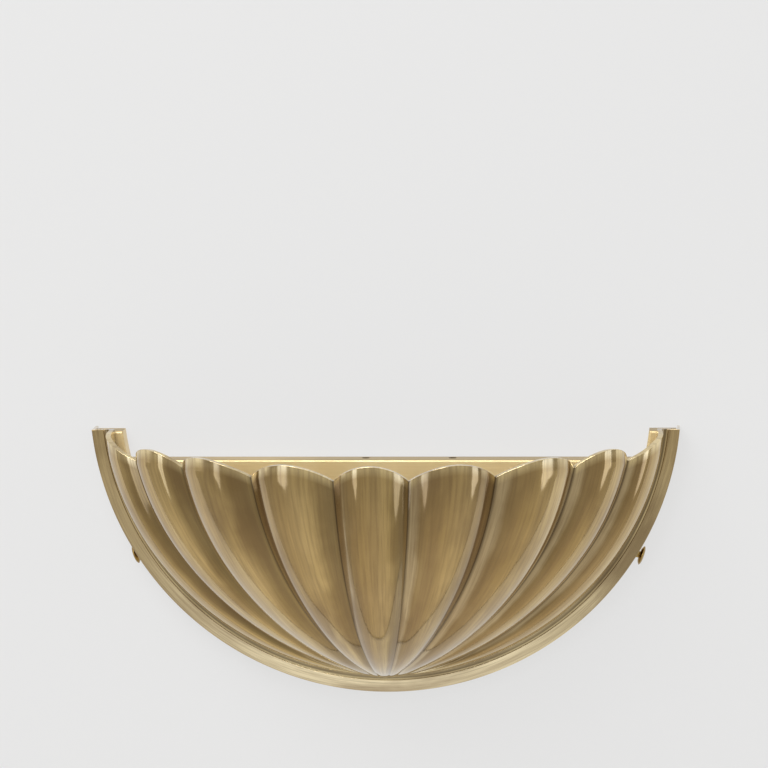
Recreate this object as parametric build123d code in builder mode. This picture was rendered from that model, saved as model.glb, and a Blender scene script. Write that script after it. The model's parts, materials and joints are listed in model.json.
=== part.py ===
"""Shell wall sconce: a fluted brass half bowl, open upwards, over a folded wall pan.

Millimetres. +X is right, +Z is up and the wall is the plane Y = 0, so the light stands out along -Y.
The origin is on the wall, midway between the two wall-screw slots of the fixing strap.
"""
from build123d import *
from math import cos, hypot, radians, sin, sqrt, tan
import os

os.makedirs("parts", exist_ok=True)

# ---------------------------------------------------------------- driving dimensions
# Heights: the rim is an arc that ends at two level tips.
tips_z = 75.0  # the tips, above the wall-screw line
rim_radius = 189.5  # outside of the rim
rim_rise = 18.5  # centre of the rim arc above the tips

# Shell: rim, groove and fluted bowl, one casting.
rim_out = 18.5  # front face of the rim, from the wall
band_width = 7.4  # plain band round the rim
band_wall = 1.8  # thickness of the band and of the side return
groove_width = 3.9  # groove between band and bowl
groove_depth = 2.3
bowl_wall = 3.0
wall_gap = 0.5  # the return stops this far short of the wall
valley_drop = 15.5  # valleys of the top edge, below the tips
crown_drop = 4.7  # crowns of the top edge, below the tips
side_bulge = 2.0  # how far the end lobes' edge bows above a straight line
valley_x = (23.3, 75.8, 123.0, 155.9)  # valleys at the top edge, right half
valley_out = (112.0, 95.5, 58.5, 30.5)  # the same valleys, out from the rim face
valley_taper = (1.40, 1.64, 1.45, 1.29)  # how fast each valley runs in to the foot of the bowl
lobe_bulge = 0.25  # rise of each lobe over its chord
trim_lap = 0.6  # the cuts that shape the top edge overlap by this much
tip_lap = 6.0  # and by this much past the bowl's side, at the tips
trim_reach = 24.0  # and run this far each way across the wall
tip_margin = 0.2  # the end lobes' cuts start this far above the tips
over_cut = 1.0  # cuts and trimmed ends run this far past the surface they end at
slice_step = 8.0  # degrees of bowl profile between sections
foot_height = 0.7  # lowest section, above the very bottom

# Wall pan: a sheet tray, open to the wall, with a raised horn at each end.
pan_out = 14.0
pan_sheet = 1.2
pan_clearance = 0.4  # between the pan and the shell, round the edge and in front
pan_top_drop = 20.3  # top wall, below the tips
horn_drop = 1.6  # top of the horns, below the tips
horn_width = 17.0
vent_radius = 2.5
vent_x = (-13.0, 43.0)
vent_out = 5.0

# Fixing strap on the wall, inside the pan.
strap_length = 118.0
strap_height = 18.0
strap_thickness = 2.0
strap_corner = 4.5
slot_spacing = 88.9
slot_length = 16.0
slot_width = 4.8
pan_screw_x = 28.0
ground_screw_x = 10.0

# Lamp bracket: one folded strip that carries both lamp holders.
strip = 1.5
bracket_width = 40.0
bracket_drop = 107.0  # web of the bracket, below the tips
bracket_depth = 24.0  # width of the wings, along Y
foot_drop = 24.0  # height of the foot on the pan
wing_length = 30.0
holder_out = 45.0  # lamp axis, from the wall
lamp_tilt = 25.0  # lamps point outwards and this far up, degrees

# Lamp holders and lamps.
holder_radius = 13.0
holder_length = 26.0
holder_floor = 6.0
holder_bore = 8.0
holder_bevel = 2.5
sleeve_wall = 0.5
sleeve_length = 17.0
sleeve_hole = 3.2
nipple_radius = 4.75
nipple_bore = 3.2
nipple_grip = 4.0  # depth in the holder's floor
nipple_reach = 7.0  # stands inside the wing
nut_across = 14.0
nut_thickness = 3.0
contact_width = 3.0
contact_sheet = 0.5
contact_rise = 2.2
contact_foot = 2.4  # start of the leaf, from the lamp's axis
contact_bend = (0.9, 0.3)  # the leaf rises between these, from one side of the axis to the other
contact_end = 1.9
cap_radius = 6.9
cap_length = 19.0
cap_wall = 0.6
cap_tip = 2.2
cap_base = 3.5  # height of the rounded base of the cap
cap_play = 0.4  # between the lamp's tip and the centre contact
glass_radius = 17.5
glass_belly = 26.0  # widest point, above the cap
glass_shoulder = 0.72  # width at both shoulders, of the widest
glass_low_shoulder = 9.4  # lower shoulder, above the cap
glass_length = 66.0
glass_wall = 0.9
glass_seat = 6.0  # depth of the glass neck in the cap

# Leads, terminal block and grommet.
lead_radius = 0.9
lead_spacing = 2.6
lead_inner_x = 2.0
lead_exit = 12.5  # first lead leaves the holder this far along it
lead_bury = 2.4  # start of the leads, below the holder's surface
lead_play = 0.1
lead_bend_out = 22.0  # the leads turn this far from the wall
lead_bend_share = 0.45  # bend radius, of the straight run before it
grommet_drop = 52.0  # cable grommet, below the tips
grommet_bore = 6.2
grommet_hole = 7.6
grommet_flange = 9.6
grommet_lip = 1.2
block_width = 34.0
block_height = 16.0
block_corner = 1.5
block_depth = 6.5
block_stand = 3.5  # length of the spacers behind the pan
block_screw_x = 13.5
terminal_pitch = 6.6
terminal_radius = 1.9
terminal_bore = 1.2
spacer_radius = 3.0
eyelet_radius = 4.0
eyelet_sheet = 0.8
eyelet_barrel = 1.5
eyelet_neck = 3.0  # the barrel starts this far above the ground screw
eyelet_barrel_length = 5.0
earth_out = 4.2  # axis of the earth lead, from the wall

# Thumbscrews that hold the shell.
knob_angle = 32.0  # place on the rim, degrees below its centre
knob_tilt = 20.0  # the screw points this far below level
knob_out = 8.5  # screw axis, from the wall
knob_radius = 6.3
knob_stand = {"left": 0.7, "right": 1.9}  # rim to the flared underside: the right one is looser
knob_flare = 1.5
knob_crown = 1.7
knob_edge = 0.7  # rounding of the knob's edge
thread_radius = 2.4
thread_length = 12.0
notch_play = 0.6
bush_radius = 4.0
bush_length = 6.0
bush_spigot = 3.2  # goes through the pan's side wall
bush_play = 0.1
bush_gap = 0.2  # between the bush's shoulder and the curved wall

# Small machine screws.
screw_radius = 2.0
screw_head = 3.8
screw_head_height = 2.2
small_screw = 1.5
small_head = 2.8
small_head_height = 1.6
small_nut_across = 5.5
small_nut = 2.4
slot_share = 0.28  # driver slot, of the head's radius
thread_fit = 0.05
screw_short = 0.3  # the pan and ground screws stop this far from the wall
screw_past = 1.0  # length of the bracket screws past their nuts
bracket_screw_x = 12.0

# ---------------------------------------------------------------- derived places
rim_z = tips_z + rim_rise
bowl_radius = rim_radius - band_width - groove_width
cavity_radius = bowl_radius - bowl_wall
valley_z = tips_z - valley_drop
crown_z = tips_z - crown_drop
groove_out = rim_out - groove_depth
bowl_back = groove_out - band_wall
pan_top = tips_z - pan_top_drop
pan_radius = rim_radius - band_wall - pan_clearance
pan_back = pan_out - pan_sheet
web_z = tips_z - bracket_drop
grommet_z = tips_z - grommet_drop
block_foot = grommet_z - block_height / 2
sides = ((-1, "left"), (1, "right"))


def save(piece, name):
    piece.part.label = name
    export_step(piece.part, f"parts/{name}.step")


# ---------------------------------------------------------------- shell
def shrink(points, amount):
    """Plan points of the bowl, moved in square to their neighbours by the wall's thickness."""
    moved = []
    for before, here, after in zip(points, points[1:], points[2:]):
        run = hypot(after[0] - before[0], after[1] - before[1])
        across = ((after[1] - before[1]) / run, -(after[0] - before[0]) / run)
        moved.append((here[0] + across[0] * amount, here[1] + across[1] * amount))
    return moved


def bowl_plan(wall):
    """Valleys of the top edge, from the middle to the rim, with the wall taken off."""
    middle = (-valley_x[0], valley_out[0])
    rim_point = (sqrt(bowl_radius**2 - (valley_z - rim_z) ** 2), 0.0)
    points = [middle, *zip(valley_x, valley_out), rim_point]
    return shrink(points, wall)


def slice_points(z, radius, plan):
    """The nine-lobed outline at one height: valleys and both rim points, left to right."""
    half = sqrt(radius**2 - (z - rim_z) ** 2)
    share = min(1.0, half / sqrt(radius**2 - (valley_z - rim_z) ** 2))
    right = [(x * share**taper, out * share) for (x, out), taper in zip(plan, valley_taper)]
    right.append((half, 0.0))
    left = [(-x, out) for x, out in reversed(right)]
    return [(x, -rim_out - out) for x, out in left + right]


def bulge_point(start, end):
    """Top of the lobe that stands on the chord from start to end."""
    across = (end[1] - start[1], start[0] - end[0])
    middle = ((start[0] + end[0]) / 2, (start[1] + end[1]) / 2)
    return (middle[0] + across[0] * lobe_bulge, middle[1] + across[1] * lobe_bulge)


def bowl_levels(radius):
    """Heights of the sections: even steps of the round profile, from the foot to above the tips."""
    level = rim_z - radius + foot_height
    top_angle = degrees_from_bottom(tips_z + over_cut, radius)
    start_angle = degrees_from_bottom(level, radius)
    count = round((top_angle - start_angle) / slice_step)
    angles = [start_angle + (top_angle - start_angle) * i / count for i in range(count + 1)]
    return [rim_z - radius * cos(radians(angle)) for angle in angles]


def degrees_from_bottom(z, radius):
    return Vector(0, 0, -1).get_angle(Vector(sqrt(radius**2 - (z - rim_z) ** 2), 0, z - rim_z))


def loft_bowl(radius, plan, back, mode=Mode.ADD):
    sections = []
    for z in bowl_levels(radius):
        points = slice_points(z, radius, plan)
        half = points[-1][0]
        with BuildSketch(Plane.XY.offset(z)) as section:
            with BuildLine():
                for start, end in zip(points, points[1:]):
                    ThreePointArc(start, bulge_point(start, end), end)
                Polyline(points[-1], (half, -back), (-half, -back), points[0])
            make_face()
        sections.append(section.sketch)
    loft(sections, mode=mode)


def arc_sector(outer, inner, back, front, top, mode=Mode.ADD):
    """A ring sector, or a half-moon, round the rim's centre: below top, from back to front."""
    with BuildSketch(Plane.XZ.offset(back)) as sector:
        with Locations((0, rim_z)):
            Circle(outer)
            if inner:
                Circle(inner, mode=Mode.SUBTRACT)
        with Locations((0, top)):
            Rectangle(3 * outer, 3 * outer, align=(Align.CENTER, Align.MIN), mode=Mode.SUBTRACT)
    extrude(sector.sketch, amount=front - back, mode=mode)


def trim_lobe(start, end, start_z, top, end_z, before=trim_lap, after=trim_lap):
    """Cut the top of one lobe along an arch that spans it."""
    across = Vector(end[0] - start[0], end[1] - start[1], 0)
    width = across.length
    above = tips_z + 2 * rim_rise
    plane = Plane(origin=(*start, 0), x_dir=across, z_dir=(across.Y, -across.X, 0))  # Z is local Y
    with BuildSketch(plane) as arch:
        with BuildLine():
            ThreePointArc((0, start_z), (width / 2, top), (width, end_z))
            Polyline((width, end_z), (width + after, end_z), (width + after, above),
                     (-before, above), (-before, start_z), (0, start_z))
        make_face()
    extrude(arch.sketch, amount=trim_reach, both=True, mode=Mode.SUBTRACT)


def screw_plane(side):
    """Thumbscrew axis: out of the rim's side, a little below level."""
    edge = (side * rim_radius * cos(radians(knob_angle)), rim_z - rim_radius * sin(radians(knob_angle)))
    axis = (side * cos(radians(knob_tilt)), 0, -sin(radians(knob_tilt)))
    return Plane(origin=(edge[0], -knob_out, edge[1]), x_dir=(0, -1, 0), z_dir=axis)


with BuildPart() as shell:
    loft_bowl(bowl_radius, bowl_plan(0), bowl_back)
    arc_sector(rim_radius, rim_radius - band_width, rim_out - band_wall, rim_out, tips_z)
    arc_sector(rim_radius, rim_radius - band_wall, wall_gap, rim_out, tips_z)
    band_inner = rim_radius - band_width
    arc_sector(band_inner + band_wall, band_inner, bowl_back, rim_out, tips_z)
    arc_sector(band_inner + band_wall, cavity_radius, bowl_back, groove_out, tips_z)
    loft_bowl(cavity_radius, bowl_plan(bowl_wall), bowl_back - over_cut, mode=Mode.SUBTRACT)
    edge_points = slice_points(valley_z, bowl_radius, bowl_plan(0))
    spans = list(zip(edge_points, edge_points[1:]))
    rim_top = tips_z + tip_margin
    end_top = (valley_z + rim_top) / 2 + side_bulge
    trim_lobe(*spans[0], rim_top, end_top, valley_z, before=tip_lap)
    for start, end in spans[1:-1]:
        trim_lobe(start, end, valley_z, crown_z, valley_z)
    trim_lobe(*spans[-1], valley_z, end_top, rim_top, after=tip_lap)
    for side, _ in sides:
        with BuildSketch(screw_plane(side)):
            Circle(thread_radius + notch_play)
            with Locations((-knob_out / 2, 0)):
                Rectangle(knob_out, 2 * (thread_radius + notch_play))
        extrude(amount=band_wall + over_cut, both=True, mode=Mode.SUBTRACT)
save(shell, "shell")


# ---------------------------------------------------------------- wall pan
def pan_body(back, front, inset, mode=Mode.ADD):
    """Half-moon with a horn at each end; inset gives the space inside the sheet."""
    arc_sector(pan_radius - inset, 0, back, front, pan_top - inset, mode)
    horn_inner = pan_radius - horn_width + inset
    arc_sector(pan_radius - inset, horn_inner, back, front, tips_z - horn_drop - inset, mode)


def front_holes(places, radius):
    """Round holes through the pan's front."""
    with BuildSketch(Plane.XZ.offset(pan_out)) as holes:
        with Locations(*places):
            Circle(radius)
    extrude(holes.sketch, amount=-2 * pan_sheet, mode=Mode.SUBTRACT)


pan_screws_at = [(side * pan_screw_x, 0) for side, _ in sides]
foot_screws_at = [(side * bracket_screw_x, web_z - foot_drop / 2) for side, _ in sides]
block_screws_at = [(side * block_screw_x, grommet_z) for side, _ in sides]

with BuildPart() as wall_pan:
    pan_body(0, pan_out, 0)
    pan_body(0, pan_back, pan_sheet, mode=Mode.SUBTRACT)
    front_holes(pan_screws_at, screw_radius + thread_fit)
    front_holes(foot_screws_at + block_screws_at, small_screw + thread_fit)
    front_holes([(0, grommet_z)], grommet_hole)
    with BuildSketch(Plane.XY.offset(pan_top)) as vents:
        with Locations(*[(x, -vent_out) for x in vent_x]):
            Circle(vent_radius)
    extrude(vents.sketch, amount=-2 * pan_sheet, mode=Mode.SUBTRACT)
    for side, _ in sides:
        with BuildSketch(screw_plane(side)) as bush_hole:
            Circle(bush_spigot + bush_play)
        extrude(bush_hole.sketch, amount=-2 * bush_length, mode=Mode.SUBTRACT)
save(wall_pan, "wall_pan")


# ---------------------------------------------------------------- turned pieces and fasteners
def facing(x, out, z):
    """Plane at a point in front of the wall, facing the room."""
    return Plane(origin=(x, -out, z), x_dir=(1, 0, 0), z_dir=(0, -1, 0))


def turn(at, outline, mode=Mode.ADD):
    """Revolve an outline of (radius, distance along the axis) points about a plane's normal."""
    across = Plane(origin=at.origin, x_dir=at.x_dir, z_dir=at.x_dir.cross(at.z_dir))
    with BuildSketch(across) as profile:
        with BuildLine():
            Polyline(*outline, close=True)
        make_face()
    revolve(profile.sketch, axis=Axis(at.origin, at.z_dir), mode=mode)


def add_screw(at, radius, length, head, height):
    """Slotted round-head screw whose head is seated on a plane."""
    turn(at, [(0, -length), (radius, -length), (radius, 0), (head, 0), (head, height * 0.4),
              (head * 0.75, height * 0.85), (head * 0.4, height), (0, height)])
    with BuildSketch(at.offset(height)) as slot:
        Rectangle(3 * head, head * slot_share)
    extrude(slot.sketch, amount=-height / 2, mode=Mode.SUBTRACT)


def add_nut(at, across, thickness, bore):
    """Hexagon nut that stands on a plane."""
    with BuildSketch(at) as hexagon:
        RegularPolygon(across / 2, 6, major_radius=False)
        Circle(bore, mode=Mode.SUBTRACT)
    extrude(hexagon.sketch, amount=thickness)


# ---------------------------------------------------------------- fixing strap
with BuildPart() as wall_strap:
    with BuildSketch(Plane.XZ) as strap_face:
        RectangleRounded(strap_length, strap_height, strap_corner)
        with Locations((-slot_spacing / 2, 0), (slot_spacing / 2, 0)):
            SlotOverall(slot_length, slot_width, mode=Mode.SUBTRACT)
        with Locations(*pan_screws_at):
            Circle(screw_radius + thread_fit, mode=Mode.SUBTRACT)
        with Locations((ground_screw_x, 0)):
            Circle(small_screw + thread_fit, mode=Mode.SUBTRACT)
    extrude(strap_face.sketch, amount=strap_thickness)
save(wall_strap, "wall_strap")

with BuildPart() as pan_screws:
    for x, z in pan_screws_at:
        add_screw(facing(x, pan_out, z), screw_radius, pan_out - screw_short, screw_head, screw_head_height)
save(pan_screws, "pan_screws")

eyelet_front = strap_thickness + eyelet_sheet
with BuildPart() as earth_lead:
    with BuildSketch(facing(ground_screw_x, strap_thickness, 0)) as ring:
        Circle(eyelet_radius)
        Circle(small_screw + 2 * thread_fit, mode=Mode.SUBTRACT)
    extrude(ring.sketch, amount=eyelet_sheet)
    barrel_plane = Plane(origin=(ground_screw_x, -earth_out, eyelet_neck))
    with BuildSketch(barrel_plane) as barrel:
        Circle(eyelet_barrel)
    extrude(barrel.sketch, amount=eyelet_barrel_length)
    with BuildSketch(barrel_plane) as wire:
        Circle(lead_radius)
    extrude(wire.sketch, amount=block_foot - eyelet_neck)
save(earth_lead, "earth_lead")

with BuildPart() as ground_screw:
    seat = facing(ground_screw_x, eyelet_front, 0)
    add_screw(seat, small_screw, eyelet_front - screw_short, small_head, small_head_height)
save(ground_screw, "ground_screw")

# ---------------------------------------------------------------- lamp bracket
web_half = bracket_width / 2
wing_up = (-sin(radians(lamp_tilt)), cos(radians(lamp_tilt)))
lamp_along = (cos(radians(lamp_tilt)), sin(radians(lamp_tilt)))


def wing_point(side, distance):
    """Point on the middle of a wing's sheet, up from the web."""
    return (side * (web_half + wing_up[0] * distance), web_z + wing_up[1] * distance)


def lamp_plane(side):
    """Outer face of a wing, at the lamp's axis, facing along the lamp."""
    x, z = wing_point(side, wing_length / 2)
    lift = strip / 2
    origin = (x + side * lamp_along[0] * lift, -holder_out, z + lamp_along[1] * lift)
    return Plane(origin=origin, x_dir=(0, -1, 0), z_dir=(side * lamp_along[0], 0, lamp_along[1]))


with BuildPart() as lamp_bracket:
    with BuildSketch(Plane.XZ.offset(holder_out - bracket_depth / 2)) as wings:
        with BuildLine() as bend_line:
            Polyline(wing_point(-1, wing_length), wing_point(-1, 0),
                     wing_point(1, 0), wing_point(1, wing_length))
        trace(bend_line.line, line_width=strip)
    extrude(wings.sketch, amount=bracket_depth)
    with BuildSketch(Plane.XZ.offset(pan_out)) as web:
        with Locations((0, web_z)):
            Rectangle(bracket_width - 4 * strip, strip)
    extrude(web.sketch, amount=holder_out - pan_out)
    with BuildSketch(Plane.XZ.offset(pan_out)) as foot:
        with Locations((0, web_z + strip / 2)):
            Rectangle(bracket_width - 4 * strip, foot_drop, align=(Align.CENTER, Align.MAX))
        with Locations(*foot_screws_at):
            Circle(small_screw + thread_fit, mode=Mode.SUBTRACT)
    extrude(foot.sketch, amount=strip)
    for side, _ in sides:
        with BuildSketch(lamp_plane(side)) as nipple_hole:
            Circle(nipple_radius + thread_fit)
        extrude(nipple_hole.sketch, amount=-2 * strip, mode=Mode.SUBTRACT)
save(lamp_bracket, "lamp_bracket")

with BuildPart() as bracket_screws:
    for x, z in foot_screws_at:
        seat = facing(x, pan_out + strip, z)
        length = strip + pan_sheet + small_nut + screw_past
        add_screw(seat, small_screw, length, small_head, small_head_height)
save(bracket_screws, "bracket_screws")

with BuildPart() as bracket_nuts:
    for x, z in foot_screws_at:
        add_nut(facing(x, pan_back - small_nut, z), small_nut_across, small_nut, small_screw + thread_fit)
save(bracket_nuts, "bracket_nuts")

# ---------------------------------------------------------------- lamp holders and lamps
cap_start = holder_floor + contact_rise + cap_play
cap_end = cap_start + cap_length


def glass_line(inset):
    """Candle shape from the neck to the tip, as one smooth line."""
    shoulder_radius = glass_radius * glass_shoulder - inset
    return Spline(
        (cap_radius - cap_wall - thread_fit - inset, cap_end),
        (shoulder_radius, cap_end + glass_low_shoulder),
        (glass_radius - inset, cap_end + glass_belly),
        (shoulder_radius, cap_end + (glass_belly + glass_length) / 2),
        (0, cap_end + glass_length - inset),
        tangents=((0.5, 1), (-1, 0)),
    )


for side, name in sides:
    at = lamp_plane(side)
    with BuildPart() as nipple:
        low = -strip - nipple_reach
        high = nipple_grip - 4 * thread_fit
        turn(at, [(nipple_bore, low), (nipple_radius, low), (nipple_radius, high), (nipple_bore, high)])
    save(nipple, f"nipple_{name}")

    with BuildPart() as nipple_nut:
        add_nut(at.offset(-strip - nut_thickness), nut_across, nut_thickness, nipple_radius + thread_fit)
    save(nipple_nut, f"nipple_nut_{name}")

    socket = nipple_radius + thread_fit
    with BuildPart() as lamp_holder:
        turn(at, [(0, nipple_grip), (socket, nipple_grip), (socket, 0), (holder_radius - holder_bevel, 0),
                  (holder_radius, holder_bevel), (holder_radius, holder_length), (holder_bore, holder_length),
                  (holder_bore, holder_floor), (0, holder_floor)])
        for step in (0, lead_spacing / lamp_along[0]):
            middle = at.offset(lead_exit + step)
            with BuildSketch(Plane(origin=middle.origin, x_dir=(1, 0, 0), z_dir=(0, 1, 0))) as lead_hole:
                Circle(lead_radius + lead_play)
            bore_start = holder_radius - lead_bury - 2 * lead_play
            with BuildPart(mode=Mode.PRIVATE) as drill:
                extrude(lead_hole.sketch, amount=holder_radius + 1)
                extrude(lead_hole.sketch, amount=bore_start, mode=Mode.SUBTRACT)
            add(drill.part, mode=Mode.SUBTRACT)
    save(lamp_holder, f"lamp_holder_{name}")

    sleeve_outer = holder_bore - thread_fit
    sleeve_inner = sleeve_outer - sleeve_wall
    sleeve_top = holder_floor + sleeve_length
    with BuildPart() as screw_sleeve:
        turn(at, [(sleeve_hole, holder_floor), (sleeve_outer, holder_floor), (sleeve_outer, sleeve_top),
                  (sleeve_inner, sleeve_top), (sleeve_inner, holder_floor + sleeve_wall),
                  (sleeve_hole, holder_floor + sleeve_wall)])
    save(screw_sleeve, f"screw_sleeve_{name}")

    with BuildPart() as centre_contact:
        across = Plane(origin=at.origin, x_dir=at.x_dir, z_dir=at.x_dir.cross(at.z_dir))
        with BuildSketch(across.offset(-contact_width / 2)) as leaf:
            low = holder_floor + contact_sheet / 2
            high = holder_floor + contact_rise - contact_sheet / 2
            with BuildLine() as leaf_line:
                Polyline((-contact_foot, low), (-contact_bend[0], low), (contact_bend[1], high), (contact_end, high))
            trace(leaf_line.line, line_width=contact_sheet)
        extrude(leaf.sketch, amount=contact_width)
    save(centre_contact, f"centre_contact_{name}")

    with BuildPart() as lamp_cap:
        inner = cap_radius - cap_wall
        base_top = cap_start + cap_base
        tip_top = cap_start + 2 * cap_wall
        turn(at, [(0, cap_start), (cap_tip, cap_start), (cap_tip, cap_start + cap_wall),
                  (cap_radius, base_top), (cap_radius, cap_end), (inner, cap_end),
                  (inner, base_top + cap_wall), (cap_tip, tip_top), (0, tip_top)])
    save(lamp_cap, f"lamp_cap_{name}")

    foot = cap_end - glass_seat
    with BuildPart() as lamp_glass:
        across = Plane(origin=at.origin, x_dir=at.x_dir, z_dir=at.x_dir.cross(at.z_dir))
        with BuildSketch(across) as glass_section:
            with BuildLine():
                outside = glass_line(0)
                inside = glass_line(glass_wall)
                Line(outside @ 1, inside @ 1)
                Polyline(inside @ 0, ((inside @ 0).X, foot), ((outside @ 0).X, foot), outside @ 0)
            make_face()
        revolve(glass_section.sketch, axis=Axis(at.origin, at.z_dir))
    save(lamp_glass, f"lamp_glass_{name}")

    with BuildPart() as leads:
        for count in (0, 1):
            start = at.offset(lead_exit + count * lead_spacing / lamp_along[0]).origin
            x_in = side * (lead_inner_x + count * lead_spacing)
            route = [
                (start.X, -holder_out + holder_radius - lead_bury, start.Z),
                (start.X, -lead_bend_out, start.Z),
                (x_in, -lead_bend_out, grommet_z),
                (x_in, -(pan_back - block_stand), grommet_z),
            ]
            runs = (route[1][1] - route[0][1], route[3][1] - route[2][1])
            bends = [lead_bend_share * run for run in runs]
            with BuildLine() as path:
                FilletPolyline(*route, radius=bends)
            with BuildSketch(Plane(origin=route[0], z_dir=(0, 1, 0))) as section:
                Circle(lead_radius)
            sweep(section.sketch, path=path.line)
    save(leads, f"leads_{name}")

# ---------------------------------------------------------------- grommet and terminal block
with BuildPart() as cable_grommet:
    neck = grommet_hole - bush_play
    turn(facing(0, pan_out, grommet_z), [
        (grommet_bore, grommet_lip), (grommet_flange, grommet_lip), (grommet_flange, 0), (neck, 0),
        (neck, -pan_sheet), (grommet_flange, -pan_sheet), (grommet_flange, -pan_sheet - grommet_lip),
        (grommet_bore, -pan_sheet - grommet_lip)])
save(cable_grommet, "cable_grommet")

block_front = pan_back - block_stand
with BuildPart() as terminal_block:
    with BuildSketch(Plane.XZ.offset(block_front - block_depth)) as block_face:
        with Locations((0, grommet_z)):
            RectangleRounded(block_width, block_height, block_corner)
        with Locations(*block_screws_at):
            Circle(small_screw + thread_fit, mode=Mode.SUBTRACT)
    extrude(block_face.sketch, amount=block_depth)
    tube_places = [(step * terminal_pitch, -(block_front - block_depth / 2)) for step in (-1, 0, 1)]
    with BuildSketch(Plane.XY.offset(block_foot)) as bores:
        with Locations(*tube_places):
            Circle(terminal_radius + thread_fit)
    extrude(bores.sketch, amount=block_height, mode=Mode.SUBTRACT)
save(terminal_block, "terminal_block")

with BuildPart() as terminal_tubes:
    with BuildSketch(Plane.XY.offset(block_foot)) as tubes:
        with Locations(*tube_places):
            Circle(terminal_radius)
            Circle(terminal_bore, mode=Mode.SUBTRACT)
    extrude(tubes.sketch, amount=block_height)
save(terminal_tubes, "terminal_tubes")

with BuildPart() as block_spacers:
    with BuildSketch(Plane.XZ.offset(block_front)) as rings:
        with Locations(*block_screws_at):
            Circle(spacer_radius)
            Circle(small_screw + 2 * thread_fit, mode=Mode.SUBTRACT)
    extrude(rings.sketch, amount=block_stand)
save(block_spacers, "block_spacers")

with BuildPart() as block_screws:
    for x, z in block_screws_at:
        length = pan_sheet + block_stand + block_depth - screw_past
        add_screw(facing(x, pan_out, z), small_screw, length, small_head, small_head_height)
save(block_screws, "block_screws")

# ---------------------------------------------------------------- thumbscrews
wall_slant = tan(radians(knob_angle - knob_tilt))  # of the pan's side wall, across the screw
spigot_end = -(band_wall + pan_clearance + bush_spigot * wall_slant)
bush_seat = -(band_wall + pan_clearance + pan_sheet + bush_radius * wall_slant + bush_gap)
for side, name in sides:
    at = screw_plane(side)
    bore = thread_radius + thread_fit
    with BuildPart() as thumb_bush:
        bush_end = bush_seat - bush_length
        turn(at, [(bore, bush_end), (bush_radius, bush_end), (bush_radius, bush_seat),
                  (bush_spigot, bush_seat), (bush_spigot, spigot_end), (bore, spigot_end)])
    save(thumb_bush, f"thumb_bush_{name}")

    with BuildPart() as thumbscrew:
        stand = knob_stand[name]
        edge = stand + knob_flare
        top = edge + knob_crown
        end = stand - thread_length
        turn(at, [(0, end), (thread_radius, end), (thread_radius, stand),
                  (knob_radius - knob_edge, edge - knob_edge / 2), (knob_radius, edge),
                  (knob_radius - knob_edge, top - knob_edge), (knob_radius / 2, top), (0, top)])
    save(thumbscrew, f"thumbscrew_{name}")
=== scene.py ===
import json
from math import asin, cos, hypot, pi, radians, sin, sqrt

import bmesh
import bpy
from mathutils import Euler, Matrix, Vector


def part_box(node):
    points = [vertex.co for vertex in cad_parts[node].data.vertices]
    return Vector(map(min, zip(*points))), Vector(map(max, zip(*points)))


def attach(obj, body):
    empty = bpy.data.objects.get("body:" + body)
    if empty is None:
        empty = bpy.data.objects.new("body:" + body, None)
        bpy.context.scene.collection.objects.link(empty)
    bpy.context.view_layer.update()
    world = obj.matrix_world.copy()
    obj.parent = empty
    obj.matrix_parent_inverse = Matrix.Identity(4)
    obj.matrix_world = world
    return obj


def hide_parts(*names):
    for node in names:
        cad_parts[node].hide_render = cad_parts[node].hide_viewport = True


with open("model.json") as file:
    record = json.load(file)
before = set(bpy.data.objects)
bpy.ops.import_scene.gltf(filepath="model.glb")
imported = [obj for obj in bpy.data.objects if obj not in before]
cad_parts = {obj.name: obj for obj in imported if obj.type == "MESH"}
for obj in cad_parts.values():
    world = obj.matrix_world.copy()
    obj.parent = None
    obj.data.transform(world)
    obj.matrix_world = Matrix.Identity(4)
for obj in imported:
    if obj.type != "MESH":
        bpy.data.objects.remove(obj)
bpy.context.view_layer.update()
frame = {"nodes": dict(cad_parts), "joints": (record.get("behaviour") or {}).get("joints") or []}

mm = 0.001
scene = bpy.context.scene
scene.view_settings.view_transform = "Standard"


# ---------------------------------------------------------------- camera
# A long lens stands to the right of the light and above it, at the photograph's own view.
# Its place, turn and focal length were fitted to the rim, the top edge and the pan's fold line.
camera_place = Vector((187.3, -2500, 441.8)) * mm
camera_turn = radians(4.31)  # towards -X
camera_dip = radians(7.72)
camera_roll = radians(-0.67)
picture_width = 768
focal_pixels = 3933.8

lens = bpy.data.cameras.new("portrait lens")
lens.sensor_width = 36
lens.lens = lens.sensor_width * focal_pixels / picture_width
lens.clip_start = 0.05
lens.clip_end = 30
camera = bpy.data.objects.new("camera", lens)
facing = Euler((pi / 2 - camera_dip, 0, camera_turn)).to_matrix() @ Matrix.Rotation(camera_roll, 3, "Z")
camera.matrix_world = Matrix.Translation(camera_place) @ facing.to_4x4()
scene.collection.objects.link(camera)
scene.camera = camera


# ---------------------------------------------------------------- studio light
# A bright even room, a key softbox above to the left, a small softbox in front and two strip lights low
# at the sides. The strips are oval, so their reflections taper down the lobes from the top edge.
def softbox(name, place, aim, width, height, watts, shape="RECTANGLE", tint=(1, 1, 1)):
    """An area light at a place, turned to face its aim."""
    light = bpy.data.lights.new(name, "AREA")
    light.shape = shape
    light.size = width
    light.size_y = height
    light.energy = watts
    light.color = tint
    lamp = bpy.data.objects.new(name, light)
    lamp.location = place
    lamp.rotation_euler = (Vector(aim) - Vector(place)).to_track_quat("-Z", "Y").to_euler()
    scene.collection.objects.link(lamp)


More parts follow.
